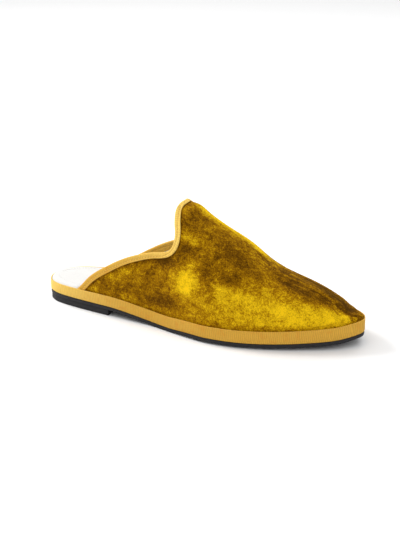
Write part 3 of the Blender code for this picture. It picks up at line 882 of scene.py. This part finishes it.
def make_sole_band(looks):
    """Grosgrain band round the sole, with its edges rounded."""
    piece = copied_node("sole_band", "sole_band_ribbon")
    keep_sharp(piece, crease=BAND_CREASE)
    rounded(piece, RIBBON_LEVELS)
    places = points_of(piece)
    turns = np.arctan2(places[:, 1], places[:, 0])
    path, lengths = course(piece, turns, places[:, 2], BAND_BINS, closed=True)
    unroll(piece, path, lengths, height_across, True)
    base, top = band_edges(places[:, 0].max())
    dress(piece, "sole_band", "ribbon", ribbon("band_ribbon", looks, top - base, False))


def make_binding(looks):
    """Ribbon folded over the topline, and the stitches that hold it down."""
    piece = copied_node("topline_binding", "topline_ribbon")
    keep_sharp(piece, crease=BINDING_CREASE)
    rounded(piece, RIBBON_LEVELS)
    fill_peak(piece)
    places = points_of(piece)
    hub_x, hub_z = (value * MM for value in TOPLINE_HUB)
    turns = np.arctan2(places[:, 2] - hub_z, places[:, 0] - hub_x)
    keys = (turns.max() - turns) * np.where(places[:, 1] < 0.0, -1.0, 1.0)
    reach = np.hypot(places[:, 0] - hub_x, places[:, 2] - hub_z)
    path, lengths = course(piece, keys, reach, BINDING_BINS)
    along, off = unroll(piece, path, lengths, distance_across, False)
    dress(piece, "topline_binding", "ribbon", ribbon("topline_ribbon", looks, BINDING_WIDTH, True))
    normals = normals_of(piece)
    outer = outward(places, normals) > BINDING_FACING
    sewn = outer & (np.abs(off - (BINDING_WIDTH - STITCH_INSET)) < STITCH_REACH)
    row = seam_points(piece, places[sewn], normals[sewn], along[sewn], looks.stitch_pitch)
    sew("binding_stitches", row, thread("ribbon_thread", looks.ribbon_pale), looks)


# Footbed
FOOTBED_LEVELS = 2
# Its edge rolls over: folds sharper than this angle stay this sharp
ROLL_ANGLE = math.radians(12.0)
ROLL_CREASE = 0.75
# It steps in where the binding begins. Its wide rows are found between these distances behind
# the binding, this far out from the middle, and end with this room behind it
STEP_SEARCH = (0.0020, 0.0045)
STEP_SIDE = 0.020
STEP_ROOM = 0.0006
# Above this height they and the rows this near the binding go on for a lip, over its tip
STEP_TOP = 0.0155
STEP_NEAR = 0.001
STEP_LIP = 0.0018
# Its stitches lie this far in from the edge
FOOTBED_SEAM = 0.0035


def make_footbed(looks):
    """Layered footbed under its white cotton cover, sewn round its edge."""
    piece = copied_node("insole", "footbed_cotton")
    places = points_of(piece)
    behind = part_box("topline_binding")[0].x - places[:, 0]
    step = (behind > STEP_SEARCH[0]) & (behind < STEP_SEARCH[1]) & (np.abs(places[:, 1]) > STEP_SIDE)
    lip = (behind > -STEP_NEAR) & (behind < STEP_SEARCH[1]) & (places[:, 2] > STEP_TOP)
    places[step, 0] += behind[step] - STEP_ROOM
    places[lip & (step | (behind < STEP_NEAR)), 0] += STEP_LIP
    set_points(piece, places)
    keep_sharp(piece, angle=ROLL_ANGLE, crease=ROLL_CREASE)
    rounded(piece, FOOTBED_LEVELS)
    dress(piece, "insole", "lining", cotton("footbed_cover", looks.lining, looks))
    places = points_of(piece)
    turns = np.arctan2(places[:, 1], places[:, 0])
    reach = np.hypot(places[:, 0], places[:, 1])
    path, lengths = course(piece, turns, -reach, FOOTBED_BINS, closed=True)
    directions = np.gradient(path, axis=0)
    inwards = np.stack([-directions[:, 1], directions[:, 0], np.zeros(len(path))], axis=1)
    inwards /= np.linalg.norm(inwards, axis=1)[:, None]
    strip = path + inwards * FOOTBED_SEAM
    strip[:, 2] = places[:, 2].max()
    upright = np.tile((0.0, 0.0, 1.0), (len(strip), 1))
    row = seam_points(piece, strip, upright, lengths, looks.stitch_pitch)
    sew("footbed_stitches", row, thread("white_thread", looks.lining), looks)


# Rubber
# The tread starts on faces that look down by the first share, and is full at the second
TREAD_FACING = (-0.4, -0.8)
TREAD_DEPTH = 0.0003
# How the rubber's colour changes where it is clean, and where it is dusty
CLEAN_SHADE = 0.8
DUSTY_SHADE = 1.5
# How many strips round off an edge
EDGE_STRIPS = 2


def rubber(looks):
    """Matt black rubber, moulded with a fine cross tread underneath."""
    sheet = Finish("rubber", {"Specular IOR Level": 0.3})
    place = sheet.place()
    x, y, _ = sheet.axes(place)
    dust = sheet.noise(place, cell=0.006, detail=3.0, roughness=0.6)
    grit = sheet.noise(place, cell=0.0007, detail=2.0, roughness=0.7)
    under = sheet.axes(sheet.node("NewGeometry", output="True Normal"))[2]
    below = sheet.span(under, *TREAD_FACING)
    turns = 2.0 * math.pi / looks.tread_pitch
    tread = ((x + y) * turns).sine() * ((x - y) * turns).sine()
    colour = sheet.mixed(dust, shade(looks.rubber, CLEAN_SHADE), shade(looks.rubber, DUSTY_SHADE))
    rough = sheet.span(dust, 0.3, 0.7, low=0.55, high=0.72)
    relief = sheet.bump(grit * 0.4 + tread * below, TREAD_DEPTH, strength=0.7)
    return sheet.wear(colour, rough, relief)


def make_rubber(looks):
    """Rubber sole and heel patch with their edges rounded off."""
    finish = rubber(looks)
    for node in ("outsole", "heel_lift"):
        piece = copied_node(node, node + "_rubber")
        hold(piece)
        edge = piece.modifiers.new("edge", "BEVEL")
        edge.width = looks.rubber_round
        edge.segments = EDGE_STRIPS
        edge.limit_method = "ANGLE"
        edge.angle_limit = RUBBER_ANGLE
        bpy.ops.object.modifier_apply(modifier=edge.name)
        bpy.ops.object.shade_smooth_by_angle(angle=RUBBER_ANGLE)
        dress(piece, node, "rubber", finish)


# Stage
# The floor lies a hair under the rubber, so that their faces don't fight
FLOOR_DROP = 0.0001
# How dark the floor's darker haze is
HAZE_SHADE = 0.99
# Nothing nearer to the camera than this is seen
CAMERA_NEAR = 0.01
# Where the lamps point, where each stands and how wide it is
LAMP_AIM = (0.0, 0.0, 0.03)
Lamp = namedtuple("Lamp", "name place width")
KEY = Lamp("key", (-1.3, 0.1, 0.9), 0.8)
FILL = Lamp("fill", (0.9, -1.1, 0.9), 1.2)
RIM = Lamp("rim", (0.1, 1.2, 1.2), 0.8)


def aimed(place, target):
    """Rotation that looks from a place at a target, upright."""
    return (Vector(target) - Vector(place)).to_track_quat("-Z", "Y").to_euler()


def add_light(lamp, power):
    """Add a round soft light that points at the shoe."""
    bpy.ops.object.light_add(type="AREA", location=lamp.place, rotation=aimed(lamp.place, LAMP_AIM))
    light = bpy.context.object
    light.name = lamp.name
    light.data.shape = "DISK"
    light.data.size = lamp.width
    light.data.energy = power


def make_stage(studio):
    """Camera at the photograph's angle, a pale floor and soft light."""
    clear_selection()
    rotation = aimed(studio.camera_place, studio.camera_aim)
    bpy.ops.object.camera_add(location=studio.camera_place, rotation=rotation)
    camera = bpy.context.object
    camera.name = "camera"
    camera.data.lens = studio.lens
    camera.data.clip_start = CAMERA_NEAR
    bpy.context.scene.camera = camera

    bpy.ops.mesh.primitive_plane_add(size=studio.floor_size, location=(0.0, 0.0, -FLOOR_DROP))
    floor = bpy.context.object
    floor.name = "floor"
    pale = Finish("pale_floor", {"Specular IOR Level": 0.1})
    haze = pale.noise(pale.place(), cell=0.5, detail=2.0)
    colour = pale.mixed(haze, shade(studio.floor, HAZE_SHADE), opaque(studio.floor))
    floor.data.materials.append(pale.wear(colour, roughness=0.8))

    add_light(KEY, studio.key_power)
    add_light(FILL, studio.fill_power)
    add_light(RIM, studio.rim_power)
    world = bpy.data.worlds.new("studio")
    bpy.context.scene.world = world
    world.use_nodes = True
    add_sky(world.node_tree, studio)
    bpy.context.scene.view_settings.view_transform = "Standard"


def add_sky(tree, studio):
    """White surround, brighter overhead than at the floor's edge."""
    sky = tree.nodes["Background"]
    direction = tree.nodes.new("ShaderNodeTexCoord").outputs["Generated"]
    split = tree.nodes.new("ShaderNodeSeparateXYZ")
    tree.links.new(direction, split.inputs[0])
    up = Wire(tree, split.outputs["Z"]).clamped()
    feed(tree, sky.inputs["Strength"], up * studio.sky_rise + studio.sky_edge)
    sky.inputs["Color"].default_value = (1.0, 1.0, 1.0, 1.0)


# Settings
def colour_property(name, description, default):
    return FloatVectorProperty(
        name=name, description=description, default=default, subtype="COLOR", size=3, min=0.0, max=1.0
    )


def length_property(name, description, default):
    return FloatProperty(name=name, description=description, default=default, unit="LENGTH")


def place_property(name, description, default):
    return FloatVectorProperty(
        name=name, description=description, default=default, subtype="TRANSLATION", unit="LENGTH", size=3
    )


def power_property(name, description, default):
    return FloatProperty(name=name, description=description, default=default, unit="POWER")


class SlipperLooks(bpy.types.PropertyGroup):
    """Colours and fine sizes of the slipper's cloth, ribbon and rubber."""

    # Dark and bright velvet are the shaded and the lit look of the nap: the tone paints light and shade
    # between them
    velvet_dark: colour_property("Velvet, dark", "Nap lying away from the light", (0.150, 0.060, 0.0004))
    velvet_mid: colour_property("Velvet, middle", "Nap standing up", (0.368, 0.171, 0.0008))
    velvet_bright: colour_property("Velvet, bright", "Nap lying to the light", (0.755, 0.472, 0.0060))
    ribbon: colour_property("Ribbon", "Ground of the grosgrain", (0.72, 0.40, 0.053))
    # Painted light: the ribbon's lit look at the heel and the tongue; also the sewing thread's colour
    ribbon_pale: colour_property("Ribbon, faded", "Paler at the heel and the tongue", (0.93, 0.62, 0.135))
    ribbon_blotch: colour_property("Ribbon blotches", "Uneven dye", (0.66, 0.25, 0.025))
    lining: colour_property("Lining", "Cotton of lining and footbed", (0.80, 0.79, 0.765))
    rubber: colour_property("Rubber", "Sole and heel patch", (0.015, 0.015, 0.017))
    rib_pitch: length_property("Rib pitch", "From rib to rib of the ribbon", 0.0015)
    weave_pitch: length_property("Weave pitch", "From thread to thread of the cotton", 0.0006)
    tread_pitch: length_property("Tread pitch", "Diamond tread under the rubber", 0.0035)
    rubber_round: length_property("Rubber edge", "Rounding of the rubber's edges", 0.0003)
    stitch_pitch: length_property("Stitch pitch", "From stitch to stitch", 0.0026)
    stitch_length: length_property("Stitch length", "Length of one stitch's thread", 0.0019)
    stitch_width: length_property("Stitch width", "Thickness of the thread", 0.0004)
    cloth_levels: IntProperty(
        name="Cloth detail", description="Subdivision levels of the velvet", default=2, min=1, max=3
    )


class SlipperStudio(bpy.types.PropertyGroup):
    """Camera, floor and light."""

    camera_place: place_property("Camera", "Where the camera stands", (0.3534, -0.7585, 0.3561))
    camera_aim: place_property("Aim", "What the camera looks at", (0.0, 0.0, 0.042))
    lens: FloatProperty(name="Lens", description="Focal length", default=78.24, unit="CAMERA")
    floor_size: length_property("Floor", "Side of the floor", 80.0)
    floor: colour_property("Floor colour", "Pale floor", (0.95, 0.95, 0.95))
    key_power: power_property("Key", "Soft light from the heel side", 20.0)
    fill_power: power_property("Fill", "Soft light from the toe side", 3.5)
    rim_power: power_property("Rim", "Soft light from behind", 4.0)
    sky_edge: FloatProperty(name="Sky at the edge", description="White surround, low down", default=0.04)
    sky_rise: FloatProperty(name="Sky overhead", description="How much brighter overhead", default=1.17)


# Operators and panel
class SLIPPER_OT_stage(bpy.types.Operator):
    """Add the camera, the pale floor and the soft studio light."""

    bl_idname = "slipper.stage"
    bl_label = "Stage"

    def execute(self, context):
        make_stage(context.scene.slipper_studio)
        return {"FINISHED"}


class SLIPPER_OT_upper(bpy.types.Operator):
    """Dress the upper in creased velvet with a cotton lining."""

    bl_idname = "slipper.upper"
    bl_label = "Upper"

    def execute(self, context):
        make_upper(context.scene.slipper_looks)
        return {"FINISHED"}


class SLIPPER_OT_ribbons(bpy.types.Operator):
    """Weave the sole band and the topline binding, and sew the binding down."""

    bl_idname = "slipper.ribbons"
    bl_label = "Ribbons"

    def execute(self, context):
        make_sole_band(context.scene.slipper_looks)
        make_binding(context.scene.slipper_looks)
        return {"FINISHED"}


class SLIPPER_OT_footbed(bpy.types.Operator):
    """Cover the footbed in cotton and sew round its edge."""

    bl_idname = "slipper.footbed"
    bl_label = "Footbed"

    def execute(self, context):
        make_footbed(context.scene.slipper_looks)
        return {"FINISHED"}


class SLIPPER_OT_rubber(bpy.types.Operator):
    """Finish the rubber sole and the heel patch."""

    bl_idname = "slipper.rubber"
    bl_label = "Rubber"

    def execute(self, context):
        make_rubber(context.scene.slipper_looks)
        return {"FINISHED"}


class SLIPPER_PT_looks(bpy.types.Panel):
    """Sizes, colours and pieces of the slipper."""

    bl_label = "Velvet slipper"
    bl_idname = "SLIPPER_PT_looks"
    bl_space_type = "VIEW_3D"
    bl_region_type = "UI"
    bl_category = "Slipper"

    def draw(self, context):
        layout = self.layout
        for group in (context.scene.slipper_looks, context.scene.slipper_studio):
            for name in group.bl_rna.properties.keys():
                if name not in ("rna_type", "name"):
                    layout.prop(group, name)
        for operator in OPERATORS:
            layout.operator(operator.bl_idname)


OPERATORS = (
    SLIPPER_OT_stage,
    SLIPPER_OT_upper,
    SLIPPER_OT_ribbons,
    SLIPPER_OT_footbed,
    SLIPPER_OT_rubber,
)
CLASSES = (SlipperLooks, SlipperStudio, *OPERATORS, SLIPPER_PT_looks)


def register():
    for item in CLASSES:
        bpy.utils.register_class(item)
    bpy.types.Scene.slipper_looks = PointerProperty(type=SlipperLooks)
    bpy.types.Scene.slipper_studio = PointerProperty(type=SlipperStudio)


def unregister():
    del bpy.types.Scene.slipper_studio
    del bpy.types.Scene.slipper_looks
    for item in reversed(CLASSES):
        bpy.utils.unregister_class(item)


def main():
    register()
    bpy.ops.slipper.stage()
    bpy.ops.slipper.upper()
    bpy.ops.slipper.ribbons()
    bpy.ops.slipper.footbed()
    bpy.ops.slipper.rubber()


if __name__ == "__main__":
    main()
